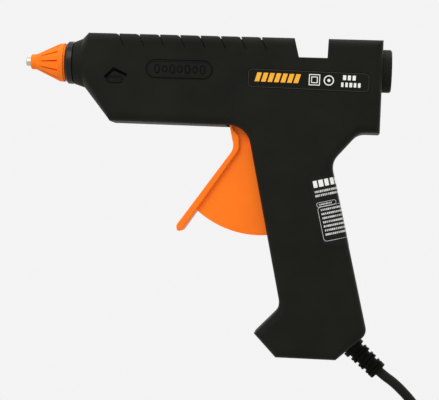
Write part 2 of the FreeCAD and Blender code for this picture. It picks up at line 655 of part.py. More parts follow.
def plug_pins():
    """Two round contact pins, 19 mm long, with insulated roots."""
    pins = []
    for dx in (-9.3, 9.3):
        root = V(TAIL_X + dx, PLUG_Y, PLUG_TOP - 43)
        shaft = Part.makeCylinder(2.0, 18.2, root, V(0, 0, -1))
        tip = Part.makeCone(2.0, 1.2, 0.8, root - V(0, 0, 18.2), V(0, 0, -1))
        pins.append(shaft.fuse(tip))
    return Part.makeCompound(pins)


def cord_clamp():
    """Bar on two feet that holds the cord down inside the grip."""
    (ax, az), (bx, bz) = CLAMP_SCREWS
    mid, angle = V((ax + bx) / 2, 0, (az + bz) / 2), degrees(atan2(az - bz, ax - bx))
    bar = box(-9.6, 9.6, -5.0, -CORD_D / 2, -2.6, 2.6)
    bar.rotate(V(0, 0, 0), V(0, 1, 0), -angle)
    bar.translate(mid)
    feet = [rod_y(2.6, -CORD_D / 2, 0, x, z) for x, z in CLAMP_SCREWS]
    return fused([bar] + feet).cut([rod_y(1.1, -6, 1, x, z) for x, z in CLAMP_SCREWS])


def clamp_screws():
    return Part.makeCompound([rod_y(1.1, -5.0, 8.5, x, z).fuse(rod_y(2.1, -6.6, -5.0, x, z))
                              for x, z in CLAMP_SCREWS])


def lead_wires():
    """The cord's two cores, up the grip and along the barrel to the heater."""
    start, way = relief_frame()
    inner, wires = start - way * 14.0, []
    for i in (0, 1):
        shift, y = 2.2 * i, -11.9
        route = [inner + V(0, -1.2 + 2.4 * i, 0), inner + V(-6, -2.0 + 2.4 * i, 9 + shift),
                 V(3 + shift, y, -26 + shift), V(-3 + shift, y, 8), V(-2.5 + shift, y, 44),
                 V(-12 + shift, y, 67.0 + shift), V(-76, y, 67.0 + shift),
                 V(-79.0, -7.0, 75.3), V(-85.0, -4.5 + 2.4 * i, 75.3)]
        wires.append(routed_tube(route, 1.6, f"lead wire {i}"))
    return Part.makeCompound(wires)


# ------------------------------------------------------------------------ labels
def side_label():
    """Thin label plate in the barrel's pocket."""
    return prism(label_outline(0.25), -HALF_W + 0.1, -HALF_W + 0.5)


def rating_sticker():
    """Thin sticker on the grip's left side, wrapped round its back edge."""
    skin = housing_solid(-0.2, -1).cut(housing_solid(0.0, -1))
    patch = prism([(-0.2, 29.8, 1.5), (24.0, 29.8, 0), (40.0, -6.4, 0), (8.5, -6.4, 1.5)], -20, -1.6)
    return skin.common(patch)


def save(name, shape):
    """Check the solids of one sub-part and write its STEP file."""
    solids = shape.Solids
    good = shape.isValid() and all(s.Volume > 0 for s in solids)
    box_ = shape.BoundBox
    print(f"{name:22s} solids {len(solids):2d} valid {good} vol {shape.Volume / 1000:8.2f} cm3 "
          f"x {box_.XMin:7.1f} {box_.XMax:7.1f} y {box_.YMin:6.1f} {box_.YMax:6.1f} "
          f"z {box_.ZMin:7.1f} {box_.ZMax:7.1f}")
    shape.exportStep(f"parts/{name}.step")


os.makedirs("parts", exist_ok=True)
for node, make in (("left_housing_shell", lambda: housing_half(-1)),
                   ("right_housing_shell", lambda: housing_half(1)),
                   ("nose_collar", nose_collar), ("rear_guide_ring", rear_guide_ring),
                   ("nozzle", nozzle), ("nozzle_cap", nozzle_cap), ("melt_chamber", melt_chamber),
                   ("ptc_heater", ptc_heater), ("heater_insulation", heater_insulation),
                   ("heater_clip", heater_clip), ("inlet_sleeve", inlet_sleeve),
                   ("sleeve_clamp", sleeve_clamp),
                   ("front_support", lambda: chamber_support(-121.5, -118.5, 72.0, 101.0)),
                   ("rear_support", lambda: chamber_support(-83.4, -80.4, 71.0, 101.0)),
                   ("trigger", trigger), ("trigger_pin", trigger_pin),
                   ("return_spring", return_spring), ("spring_post", spring_post),
                   ("feed_carriage", feed_carriage), ("feed_pin", feed_pin),
                   ("gripper_jaw", gripper_jaw), ("jaw_pin", jaw_pin),
                   ("housing_screws", housing_screws), ("strain_relief", strain_relief),
                   ("cord_clamp", cord_clamp), ("clamp_screws", clamp_screws),
                   ("lead_wires", lead_wires), ("side_label", side_label),
                   ("rating_sticker", rating_sticker), ("cord", cord), ("cord_hank", cord_hank),
                   ("hank_tie", hank_tie), ("cord_tail", cord_tail), ("plug_body", plug_body),
                   ("plug_pins", plug_pins)):
    save(node, make())
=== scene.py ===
"""Looks of a hot-melt glue gun: finishes, printed label and sticker, mains cord and studio.

Metres, in the gun's own frame: -X towards the nozzle, +X to the rear, +Z up, and the
labelled side is -Y. The origin is the middle of the hand grip.
"""
import json
from math import atan2, cos, hypot, pi, radians, sin

import bmesh
import bpy
from mathutils import Matrix, Vector


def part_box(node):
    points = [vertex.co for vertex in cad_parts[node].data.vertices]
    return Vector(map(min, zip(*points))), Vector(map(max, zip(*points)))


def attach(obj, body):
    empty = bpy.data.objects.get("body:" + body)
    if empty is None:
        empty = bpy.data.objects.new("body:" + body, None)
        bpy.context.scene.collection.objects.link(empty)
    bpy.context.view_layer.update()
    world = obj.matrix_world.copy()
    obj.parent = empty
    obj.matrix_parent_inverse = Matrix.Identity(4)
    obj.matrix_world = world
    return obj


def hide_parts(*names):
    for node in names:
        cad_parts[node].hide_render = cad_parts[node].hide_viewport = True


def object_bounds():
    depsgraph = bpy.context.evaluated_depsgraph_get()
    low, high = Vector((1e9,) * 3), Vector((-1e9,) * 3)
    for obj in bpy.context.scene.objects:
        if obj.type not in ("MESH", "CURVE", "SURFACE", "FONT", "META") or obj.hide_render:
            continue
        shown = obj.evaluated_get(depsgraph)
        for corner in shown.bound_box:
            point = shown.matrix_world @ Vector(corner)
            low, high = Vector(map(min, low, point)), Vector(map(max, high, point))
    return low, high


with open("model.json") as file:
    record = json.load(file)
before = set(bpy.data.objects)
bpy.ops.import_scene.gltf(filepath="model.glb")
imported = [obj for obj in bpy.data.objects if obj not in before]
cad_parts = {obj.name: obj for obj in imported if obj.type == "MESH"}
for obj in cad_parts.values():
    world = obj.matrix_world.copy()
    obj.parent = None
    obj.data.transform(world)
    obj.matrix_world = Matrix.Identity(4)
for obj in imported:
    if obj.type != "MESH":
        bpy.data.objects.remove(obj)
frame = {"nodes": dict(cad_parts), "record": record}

bl_info = {
    "name": "Glue gun",
    "version": (1, 0, 0),
    "blender": (4, 5, 0),
    "location": "View3D > Sidebar > Glue gun",
    "description": "Finishes, printed films, mains cord and studio of a hot-melt glue gun",
    "category": "Object",
}

MM = 0.001
CAP_AXIS = 86.5 * MM          # height of the nozzle's axis
CAP_GROOVES = 12
CAP_GROOVE_FRONT = -146.6 * MM
CAP_GROOVE_REAR = -135.5 * MM
CAD_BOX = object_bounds()
INK = 0.03 * MM               # thickness of printed ink
HOUSING_SIDE = -15.0 * MM     # the housing's flat, labelled side


# ------------------------------------------------------------------ settings
class GunFinishes(bpy.types.PropertyGroup):
    """Colours and surface sizes a user would change."""

    housing: bpy.props.FloatVectorProperty(
        name="Housing", description="Colour of the two housing halves and the rear ring",
        subtype="COLOR", size=3, min=0, max=1, default=(0.0078, 0.0081, 0.006))
    collar: bpy.props.FloatVectorProperty(
        name="Collar", description="Colour of the ring at the nose",
        subtype="COLOR", size=3, min=0, max=1, default=(0.0085, 0.0085, 0.007))
    trigger: bpy.props.FloatVectorProperty(
        name="Trigger", description="Colour of the trigger",
        subtype="COLOR", size=3, min=0, max=1, default=(1.0, 0.185, 0.004))
    cap: bpy.props.FloatVectorProperty(
        name="Nozzle cap", description="Colour of the soft cap on the nozzle",
        subtype="COLOR", size=3, min=0, max=1, default=(0.95, 0.185, 0.005))
    rubber: bpy.props.FloatVectorProperty(
        name="Rubber", description="Colour of the cord, its sleeve and the plug",
        subtype="COLOR", size=3, min=0, max=1, default=(0.0045, 0.0045, 0.0038))
    accent: bpy.props.FloatVectorProperty(
        name="Label accent", description="Colour of the label's block row",
        subtype="COLOR", size=3, min=0, max=1, default=(0.88, 0.42, 0.035))
    print_white: bpy.props.FloatVectorProperty(
        name="Print", description="Colour of the pale print on label and sticker",
        subtype="COLOR", size=3, min=0, max=1, default=(0.82, 0.82, 0.78))
    grain: bpy.props.FloatProperty(
        name="Moulded grain", description="Size of the housing's eroded texture",
        unit="LENGTH", min=0.00005, max=0.005, default=0.0005)


class CordSizes(bpy.types.PropertyGroup):
    """Sizes of the mains cord and of its folded spare length."""

    diameter: bpy.props.FloatProperty(
        name="Diameter", description="Thickness of the cord",
        unit="LENGTH", min=0.003, max=0.01, default=0.0052)
    length: bpy.props.FloatProperty(
        name="Length", description="Length of the cord from the sleeve to the plug",
        unit="LENGTH", min=0.5, max=3.0, default=1.2)
    layers: bpy.props.IntProperty(
        name="Turns", description="Turns of the hank, side by side", min=1, max=9, default=5)


class StageSizes(bpy.types.PropertyGroup):
    """Floor, lights and camera."""

    floor_radius: bpy.props.FloatProperty(
        name="Floor radius", description="Radius of the round floor",
        unit="LENGTH", min=0.3, max=2.0, default=0.7)
    key_power: bpy.props.FloatProperty(
        name="Key light", description="Power of the large light over the labelled side",
        unit="POWER", min=0.0, max=100.0, default=6.2)
    surround: bpy.props.FloatProperty(
        name="Surround", description="Strength of the even light from all round",
        min=0.0, max=5.0, default=0.78)
    lens: bpy.props.FloatProperty(
        name="Lens", description="Focal length of the camera, in millimetres",
        min=20.0, max=300.0, default=118.2)
    distance: bpy.props.FloatProperty(
        name="Distance", description="Distance of the camera from the gun",
        unit="LENGTH", min=0.2, max=3.0, default=0.77)
    azimuth: bpy.props.FloatProperty(
        name="Azimuth", description="Camera's turn towards the rear of the gun",
        subtype="ANGLE", default=radians(4.0))
    roll: bpy.props.FloatProperty(
        name="Roll", description="Turn of the camera about its own view",
        subtype="ANGLE", default=radians(1.96))


# ------------------------------------------------------------------ materials
def set_or_link(tree, socket, value):
    """Link a socket to another one, or give it a plain value."""
    if isinstance(value, bpy.types.NodeSocket):
        tree.links.new(value, socket)
    else:
        socket.default_value = value


class Finish:
    """A node material in the making, on the piece's own coordinates."""

    def __init__(self, name):
        self.material = bpy.data.materials.new(name)
        self.material.use_nodes = True
        self.tree = self.material.node_tree
        self.tree.nodes.clear()
        self.shader = self.add("ShaderNodeBsdfPrincipled")
        output = self.add("ShaderNodeOutputMaterial")
        self.tree.links.new(self.shader.outputs["BSDF"], output.inputs["Surface"])
        self.place = self.add("ShaderNodeTexCoord").outputs["Object"]

    def add(self, kind, **settings):
        """New node of this kind."""
        made = self.tree.nodes.new(kind)
        for key, value in settings.items():
            setattr(made, key, value)
        return made

    def feed(self, made, **values):
        """Set or link a node's inputs, given by their names with _ for a space."""
        for key, value in values.items():
            set_or_link(self.tree, made.inputs[key.replace("_", " ")], value)
        return made

    def stretched(self, scale, shift=(0, 0, 0)):
        """The piece's coordinates, moved and scaled."""
        return self.feed(self.add("ShaderNodeMapping"), Vector=self.place, Scale=scale,
                         Location=shift).outputs["Vector"]

    def noise(self, size, detail=3.0, place=None):
        """Cloudy pattern whose spots are about this size in metres."""
        made = self.add("ShaderNodeTexNoise")
        return self.feed(made, Vector=place or self.place, Scale=1 / size, Detail=detail).outputs["Fac"]

    def cells(self, size, place=None):
        """Distance to the nearest of points about this far apart in metres."""
        made = self.add("ShaderNodeTexVoronoi")
        return self.feed(made, Vector=place or self.place, Scale=1 / size).outputs["Distance"]

    def bands(self, size, axis, place=None):
        """Parallel, slightly wavy lines across an axis, this far apart in metres."""
        made = self.add("ShaderNodeTexWave", wave_type="BANDS", bands_direction=axis)
        return self.feed(made, Vector=place or self.place, Scale=0.314 / size,
                         Distortion=0.4, Detail=1.0).outputs["Fac"]

    def between(self, factor, low, high, start=0.3, end=0.7):
        """A number that goes from low to high as the factor goes from start to end."""
        made = self.add("ShaderNodeMapRange")
        return self.feed(made, Value=factor, From_Min=start, From_Max=end, To_Min=low,
                         To_Max=high).outputs["Result"]

    def maths(self, operation, a, b=0.0):
        """One sum of numbers or sockets."""
        made = self.add("ShaderNodeMath", operation=operation)
        for socket, value in zip(made.inputs, (a, b)):
            set_or_link(self.tree, socket, value)
        return made.outputs[0]

    def mixed(self, factor, one, other):
        """Colour between two colours, either of which may be a socket."""
        made = self.add("ShaderNodeMix", data_type="RGBA")
        set_or_link(self.tree, made.inputs[0], factor)
        for socket, colour in ((made.inputs[6], one), (made.inputs[7], other)):
            if not isinstance(colour, bpy.types.NodeSocket):
                colour = (*colour[:3], 1.0)
            set_or_link(self.tree, socket, colour)
        return made.outputs[2]

    def relief(self, height, depth, strength=1.0, under=None):
        """Bump of this depth in metres, on top of another bump if given."""
        made = self.feed(self.add("ShaderNodeBump"), Height=height, Distance=depth, Strength=strength)
        if under is not None:
            self.tree.links.new(under, made.inputs["Normal"])
        return made.outputs["Normal"]

    def done(self, **values):
        """Set the shader's inputs and hand the material over."""
        self.feed(self.shader, **values)
        return self.material


def toned(colour, factor):
    """Lighter or darker colour."""
    return tuple(min(1.0, c * factor) for c in colour[:3])


def mottled(finish, colour, size, darker=0.85, lighter=1.15):
    """Base colour with slow, slight changes over the piece."""
    share = finish.between(finish.noise(size, 4.0), 0.0, 1.0)
    return finish.mixed(share, toned(colour, darker), toned(colour, lighter))


def moulded_housing(settings):
    """Eroded satin plastic, slightly polished by handling, with the halves' parting line."""
    f = Finish("moulded_housing")
    colour = mottled(f, settings.housing, 0.018)
    grain = f.noise(settings.grain, 4.0)
    speck = f.between(f.noise(settings.grain * 0.6, 2.0), 0.0, 1.0, 0.62, 0.75)
    colour = f.mixed(f.maths("MULTIPLY", speck, 0.35), colour, toned(settings.housing, 2.2))
    across = f.feed(f.add("ShaderNodeSeparateXYZ"), Vector=f.place).outputs["Y"]
    seam = f.between(f.maths("ABSOLUTE", across), 0.0, 1.0, 0.05 * MM, 0.22 * MM)
    colour = f.mixed(seam, toned(settings.housing, 0.3), colour)
    rub = f.between(f.noise(0.03, 5.0), 0.52, 0.68)
    bump = f.relief(seam, 0.15 * MM)
    bump = f.relief(grain, 0.05 * MM, 0.55, bump)
    return f.done(Base_Color=colour, Roughness=rub, Normal=bump, Specular_IOR_Level=0.08,
                  Sheen_Weight=0.06, Sheen_Roughness=0.4, Sheen_Tint=(1.0, 0.95, 0.82, 1.0))


def polished_collar(settings):
    """Smoother black plastic than the housing's, lightly worn."""
    f = Finish("polished_collar")
    bump = f.relief(f.noise(0.0009, 2.0), 0.01 * MM, 0.4)
    wear = f.between(f.noise(0.006, 5.0), 0.24, 0.36)
    return f.done(Base_Color=mottled(f, settings.collar, 0.01), Roughness=wear, Normal=bump,
                  Specular_IOR_Level=0.2)


def satin_trigger(settings):
    """Satin moulded plastic with faint flow marks and fine scuffs."""
    f = Finish("satin_trigger")
    colour = mottled(f, settings.trigger, 0.02, 0.93, 1.03)
    scuff = f.noise(0.0006, 3.0, f.stretched((1.0, 1.0, 0.18)))
    rough = f.between(f.noise(0.012, 5.0), 0.36, 0.5)
    bump = f.relief(scuff, 0.025 * MM, 0.4)
    return f.done(Base_Color=colour, Roughness=rough, Normal=bump, Specular_IOR_Level=0.2,
                  Subsurface_Weight=0.05, Subsurface_Scale=0.002)


def soft_cap(settings):
    """Silicone: dull and finely pored, with painted shade down in its twelve grooves."""
    f = Finish("soft_cap")
    colour = mottled(f, settings.cap, 0.008, 0.9, 1.04)
    spot = f.feed(f.add("ShaderNodeSeparateXYZ"), Vector=f.place).outputs
    around = f.maths("ARCTAN2", spot["Y"], f.maths("SUBTRACT", spot["Z"], CAP_AXIS))
    wave = f.maths("COSINE", f.maths("MULTIPLY", around, float(CAP_GROOVES)))
    groove_shade_mask = f.between(wave, 0.0, 1.0, 0.8, 0.97)
    fade_in = f.between(spot["X"], 0.0, 1.0, CAP_GROOVE_FRONT, CAP_GROOVE_FRONT + 2.1 * MM)
    fade_out = f.between(spot["X"], 1.0, 0.0, CAP_GROOVE_REAR - 0.7 * MM, CAP_GROOVE_REAR)
    reach = f.maths("MULTIPLY", fade_in, fade_out)
    # Painted shade: the cap's colour darkened to a deep red along its twelve grooves, where shade falls
    groove_shade = (settings.cap[0] * 0.7, settings.cap[1] * 0.22, settings.cap[2] * 0.5)
    colour = f.mixed(f.maths("MULTIPLY", groove_shade_mask, reach), colour, groove_shade)
    pores = f.noise(0.0004, 3.0)
    rough = f.between(f.noise(0.004, 4.0), 0.5, 0.66)
    return f.done(Base_Color=colour, Roughness=rough, Normal=f.relief(pores, 0.04 * MM, 0.5),
                  Specular_IOR_Level=0.15, Subsurface_Weight=0.05, Subsurface_Scale=0.003)


def rubber(name, colour, specular):
    """Matt rubber with a fine skin, greyer where it is handled."""
    f = Finish(name)
    colour = mottled(f, colour, 0.02, 0.8, 1.3)
    skin = f.noise(0.0007, 3.0)
    rough = f.between(f.noise(0.01, 4.0), 0.5, 0.64)
    return f.done(Base_Color=colour, Roughness=rough, Normal=f.relief(skin, 0.03 * MM, 0.5),
                  Specular_IOR_Level=specular)


def metal(name, colour, roughness, size, axis="X", depth=0.006, cast=False):
    """Bright metal with turning or drawing marks, or with a cast skin."""
    f = Finish(name)
    marks = f.noise(size, 5.0) if cast else f.bands(size, axis)
    rough = f.between(f.noise(size * 8, 5.0), roughness * 0.8, roughness * 1.3)
    tone = mottled(f, colour, size * 12, 0.85, 1.08)
    return f.done(Base_Color=tone, Metallic=1.0, Roughness=rough,
                  Normal=f.relief(marks, depth * MM, 0.6))


def plain_moulding(name, colour, roughness, size, depth, specular=0.4, fibre=None):
    """Inner mouldings, ceramics and films: mottled tone and a fine skin."""
    f = Finish(name)
    place = f.stretched(fibre) if fibre else None
    skin = f.noise(size, 3.0, place)
    rough = f.between(f.noise(size * 10, 4.0), roughness * 0.85, roughness * 1.15)
    return f.done(Base_Color=mottled(f, colour, size * 15, 0.85, 1.1), Roughness=rough,
                  Normal=f.relief(skin, depth * MM, 0.5), Specular_IOR_Level=specular)


def film(name, colour, roughness=0.42, specular=0.22):
    """Printed polyester film: even, a little wavy, finely scuffed."""
    f = Finish(name)
    waves = f.noise(0.006, 2.0)
    scuffs = f.noise(0.0005, 4.0, f.stretched((0.15, 1.0, 1.0)))
    bump = f.relief(scuffs, 0.006 * MM, 0.5, f.relief(waves, 0.03 * MM, 0.4))
    rough = f.between(f.noise(0.004, 4.0), roughness * 0.85, roughness * 1.2)
    return f.done(Base_Color=mottled(f, colour, 0.01, 0.88, 1.1), Roughness=rough, Normal=bump,
                  Specular_IOR_Level=specular)


def ink(name, colour, specular=0.15):
    """Screen-printed ink with pinholes."""
    f = Finish(name)
    holes = f.between(f.noise(0.00035, 3.0), 0.0, 1.0, 0.28, 0.42)
    tone = f.mixed(holes, toned(colour, 0.55), mottled(f, colour, 0.003, 0.92, 1.05))
    return f.done(Base_Color=tone, Roughness=f.between(f.noise(0.002), 0.45, 0.6),
                  Normal=f.relief(holes, 0.005 * MM, 0.5), Specular_IOR_Level=specular)


def pale_floor():
    """Matt board of one even tone."""
    f = Finish("pale_floor")
    skin = f.noise(0.004, 3.0)
    return f.done(Base_Color=mottled(f, (0.58, 0.58, 0.565), 0.06, 0.985, 1.015),
                  Roughness=f.between(skin, 0.66, 0.74), Normal=f.relief(skin, 0.01 * MM, 0.3),
                  Specular_IOR_Level=0.2)


def strap_fabric():
    """Hook-and-loop strap: rows of tiny loops with a fuzzy sheen."""
    f = Finish("strap_fabric")
    loops = f.cells(0.0007)
    colour = f.mixed(f.between(loops, 0.0, 1.0, 0.1, 0.8), (0.03, 0.03, 0.03), (0.008, 0.008, 0.008))
    return f.done(Base_Color=colour, Roughness=f.between(f.noise(0.003), 0.75, 0.95),
                  Normal=f.relief(loops, 0.25 * MM, 0.8), Specular_IOR_Level=0.2,
                  Sheen_Weight=0.3, Sheen_Roughness=0.5)


def finishes(settings):
    """Every finish by the name of the slot it fills."""
    bright = metal("zinc_steel", (0.6, 0.6, 0.6), 0.32, 0.0006, "Y")
    spring = metal("spring_steel", (0.55, 0.55, 0.56), 0.28, 0.0008, "Z")
    return {
        "housing_black": moulded_housing(settings),
        "collar_black": polished_collar(settings),
        "nozzle_metal": metal("turned_nozzle", (0.56, 0.52, 0.43), 0.38, 0.0004),
        "orange_silicone": soft_cap(settings),
        "orange_plastic": satin_trigger(settings),
        "cast_aluminium": metal("cast_chamber", (0.6, 0.6, 0.59), 0.48, 0.0011, depth=0.06, cast=True),
        "ceramic": plain_moulding("heater_ceramic", (0.78, 0.76, 0.7), 0.6, 0.0007, 0.03),
        "insulation": plain_moulding("heater_film", (0.6, 0.36, 0.08), 0.35, 0.002, 0.02),
        "spring_steel": spring,
        "steel": bright,
        "grey_silicone": plain_moulding("sleeve_silicone", (0.36, 0.05, 0.03), 0.55, 0.0008, 0.03),
        "phenolic": plain_moulding("phenolic_board", (0.12, 0.055, 0.022), 0.6, 0.0006, 0.03,
                                   fibre=(1.0, 0.2, 1.0)),
        # Painted shade: the sleeve's rubber is the cord's colour at half strength, for the shade down
        # between its ribs
        "relief_rubber": rubber("sleeve_rubber", toned(settings.rubber, 0.5), 0.06),
        "wire_insulation": plain_moulding("wire_sleeving", (0.7, 0.7, 0.66), 0.5, 0.0008, 0.03),
        "label_film": film("label_film", (0.0068, 0.0066, 0.005), 0.42, 0.08),
        "sticker_film": film("sticker_film", (0.005, 0.0052, 0.0042), 0.4, 0.15),
        "cord_rubber": rubber("cord_rubber", settings.rubber, 0.16),
        "plated_brass": metal("plated_pin", (0.75, 0.74, 0.7), 0.2, 0.0005, "Z"),
        "carriage_plastic": plain_moulding("carriage_nylon", (0.72, 0.7, 0.62), 0.42, 0.001, 0.03),
        "accent_ink": ink("accent_ink", settings.accent),
        "pale_ink": ink("pale_ink", settings.print_white),
        # Painted highlight: pale grey ink for the thin frame along the label's edge
        "border_ink": ink("border_ink", (0.045, 0.045, 0.036)),
        "fine_ink": ink("fine_ink", toned(settings.print_white, 0.75)),
        "black_ink": ink("black_ink", (0.0012, 0.0012, 0.001), 0.01),
        # Painted shade: near-black ink for the lines along the edges of the raised ornaments
        "dark_ink": ink("dark_ink", (0.0032, 0.0032, 0.0026), 0.03),
        "tie_fabric": strap_fabric(),
    }


MADE = {}


def finish_of(slot):
    """Material of a slot, made on first use."""
    if not MADE:
        MADE.update(finishes(bpy.context.scene.glue_gun_finishes))
    return MADE[slot]


def dress(*nodes):
    """Give CAD nodes the finish of the slots that the record names for them."""
    slots = {row["node"]: row["material_slot"] for row in frame["record"]["subparts"]}
    for name in nodes:
        mesh = frame["nodes"][name].data
        mesh.materials.clear()
        mesh.materials.append(finish_of(slots[name]))


# ------------------------------------------------------------- mesh helpers
def new_piece(name, data):
    """Link a finished mesh or curve that fills a slot and rides on the housing."""
    piece = bpy.data.objects.new(name, data)
    bpy.context.scene.collection.objects.link(piece)
    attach(piece, "housing")
    return piece


def joined(name, meshes):
    """One mesh of several, keeping each one's material."""
    made, builder = bpy.data.meshes.new(name), bmesh.new()
    for mesh in meshes:
        index = len(made.materials)
        for material in mesh.materials:
            made.materials.append(material)
        start = len(builder.faces)
        builder.from_mesh(mesh)
        builder.faces.ensure_lookup_table()
        for face in builder.faces[start:]:
            face.material_index += index
        bpy.data.meshes.remove(mesh)
    builder.to_mesh(made)
    builder.free()
    return made


def plate(outline, thickness, material, hole=None):
    """Flat plate of a closed outline in the XY plane, with an optional like-numbered hole."""
    builder = bmesh.new()
    layers = []
    for z in (thickness, 0.0):
        rings = [[builder.verts.new((x, y, z)) for x, y in ring] for ring in (outline, hole or [])]
        layers.append(rings)
    count = len(outline)
    (top, top_hole), (low, low_hole) = layers
    for i in range(count):
        j = (i + 1) % count
        builder.faces.new((low[i], low[j], top[j], top[i]))
        if hole:
            builder.faces.new((low_hole[j], low_hole[i], top_hole[i], top_hole[j]))
            builder.faces.new((top[i], top[j], top_hole[j], top_hole[i]))
            builder.faces.new((low[j], low[i], low_hole[i], low_hole[j]))
    if not hole:
        builder.faces.new(top)
        builder.faces.new(low[::-1])
    mesh = bpy.data.meshes.new("plate")
    builder.to_mesh(mesh)
    builder.free()
    mesh.materials.append(material)
    return mesh


CORNER_STEPS = 4              # pieces of a drawn corner


def rounded(x0, x1, y0, y1, radius, steps=CORNER_STEPS):
    """Anticlockwise outline of a rectangle with round corners."""
    points = []
    for i, (cx, cy) in enumerate(((x1 - radius, y1 - radius), (x0 + radius, y1 - radius),
                                  (x0 + radius, y0 + radius), (x1 - radius, y0 + radius))):
        for k in range(steps + 1):
            angle = pi / 2 * (i + k / steps)
            points.append((cx + radius * cos(angle), cy + radius * sin(angle)))
    return points


def round_frame(x0, x1, y0, y1, radius, line, thickness, material):
    """Line of one width round a rounded rectangle."""
    return plate(rounded(x0, x1, y0, y1, radius), thickness, material,
                 rounded(x0 + line, x1 - line, y0 + line, y1 - line, max(radius - line, 0.05 * MM)))


def mapped(mesh, place):
    """Move every vertex to where place(x, y, z) says."""
    for vertex in mesh.vertices:
        vertex.co = place(*vertex.co)
    return mesh


# -------------------------------------------------------------- node trees
def bar_tree():
    """Geometry Nodes tree: a field of thin printed bars in rows, of uneven width."""
    tree = bpy.data.node_groups.new("print_bars", "GeometryNodeTree")
    sockets = (("Columns", "NodeSocketInt"), ("Rows", "NodeSocketInt"),
               ("Column pitch", "NodeSocketFloat"), ("Row pitch", "NodeSocketFloat"),
               ("Bar width", "NodeSocketFloat"), ("Bar height", "NodeSocketFloat"),
               ("Film", "NodeSocketFloat"), ("Least width", "NodeSocketFloat"),
               ("Slant", "NodeSocketFloat"), ("Seed", "NodeSocketInt"),
               ("Material", "NodeSocketMaterial"))
    for name, kind in sockets:
        tree.interface.new_socket(name, in_out="INPUT", socket_type=kind)
    tree.interface.new_socket("Geometry", in_out="OUTPUT", socket_type="NodeSocketGeometry")
    given = tree.nodes.new("NodeGroupInput").outputs

    def node(kind, **links):
        made = tree.nodes.new(kind)
        for key, value in links.items():
            set_or_link(tree, made.inputs[key.replace("_", " ")], value)
        return made

    def maths(operation, a, b):
        made = tree.nodes.new("ShaderNodeMath")
        made.operation = operation
        for socket, value in zip(made.inputs, (a, b)):
            set_or_link(tree, socket, value)
        return made.outputs[0]

    wide = maths("MULTIPLY", maths("SUBTRACT", given["Columns"], 1.0), given["Column pitch"])
    high = maths("MULTIPLY", maths("SUBTRACT", given["Rows"], 1.0), given["Row pitch"])
    points = node("GeometryNodeMeshGrid", Size_X=wide, Size_Y=high, Vertices_X=given["Columns"],
                  Vertices_Y=given["Rows"]).outputs["Mesh"]
    size = node("ShaderNodeCombineXYZ", X=given["Bar width"], Y=given["Bar height"], Z=given["Film"])
    bar = node("GeometryNodeMeshCube", Size=size.outputs[0], Vertices_X=7, Vertices_Y=3).outputs["Mesh"]
    spot = node("ShaderNodeSeparateXYZ", Vector=tree.nodes.new("GeometryNodeInputPosition").outputs[0])
    lean = node("ShaderNodeCombineXYZ", X=maths("MULTIPLY", spot.outputs["Y"], given["Slant"]))
    bar = node("GeometryNodeSetPosition", Geometry=bar, Offset=lean.outputs[0]).outputs["Geometry"]
    width = tree.nodes.new("FunctionNodeRandomValue")
    low, high_end = [s for s in width.inputs if s.type == "VALUE"][:2]
    tree.links.new(given["Least width"], low)
    high_end.default_value = 1.0
    tree.links.new(given["Seed"], width.inputs["Seed"])
    share = next(s for s in width.outputs if s.type == "VALUE")
    scale = node("ShaderNodeCombineXYZ", X=share, Y=1.0, Z=1.0)
    bars = node("GeometryNodeInstanceOnPoints", Points=points, Instance=bar, Scale=scale.outputs[0])
    real = node("GeometryNodeRealizeInstances", Geometry=bars.outputs["Instances"])
    dyed = node("GeometryNodeSetMaterial", Geometry=real.outputs["Geometry"],
                Material=given["Material"])
    output = tree.nodes.new("NodeGroupOutput")
    tree.links.new(dyed.outputs["Geometry"], output.inputs["Geometry"])
    return tree


def grown(tree, **values):
    """Plain mesh that a node tree makes from these input values."""
    holder = bpy.data.objects.new("holder", bpy.data.meshes.new("holder"))
    bpy.context.scene.collection.objects.link(holder)
    modifier = holder.modifiers.new("shape", "NODES")
    modifier.node_group = tree
    for item in tree.interface.items_tree:
        key = item.name.replace(" ", "_")
        if item.in_out == "INPUT" and key in values:
            modifier[item.identifier] = values[key]
    graph = bpy.context.evaluated_depsgraph_get()
    mesh = bpy.data.meshes.new_from_object(holder.evaluated_get(graph),
                                           preserve_all_data_layers=True, depsgraph=graph)
    bpy.data.objects.remove(holder)
    return mesh


def bars(slot, count, pitch, size, centre=(0.0, 0.0), least=1.0, slant=0.0, seed=1):
    """Printed bars in the XY plane: (columns, rows), then pairs of millimetres."""
    if "print_bars" not in bpy.data.node_groups:
        bar_tree()
    mesh = grown(bpy.data.node_groups["print_bars"], Columns=count[0], Rows=count[1],
                 Column_pitch=pitch[0] * MM, Row_pitch=pitch[1] * MM, Bar_width=size[0] * MM,
                 Bar_height=size[1] * MM, Film=INK, Least_width=least, Slant=slant, Seed=seed,
                 Material=finish_of(slot))
    return mapped(mesh, lambda x, y, z: (x + centre[0] * MM, y + centre[1] * MM, z + INK / 2))


# ------------------------------------------------------------------ label
LABEL_LEFT = Vector((-33.8, 79.95)) * MM           # middle of the label's left end, X and Z
LABEL_RIGHT = Vector((30.25, 78.85)) * MM
LABEL_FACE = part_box("side_label")[0].y             # outer face of the label plate


def on_label(x, y, z):
    """Point of the label's own plane (along it, up, out of it) in the gun's frame."""
    along = (LABEL_RIGHT - LABEL_LEFT).normalized()
    return Vector((LABEL_LEFT.x + along.x * x - along.y * y, LABEL_FACE - z,
                   LABEL_LEFT.y + along.y * x + along.x * y))


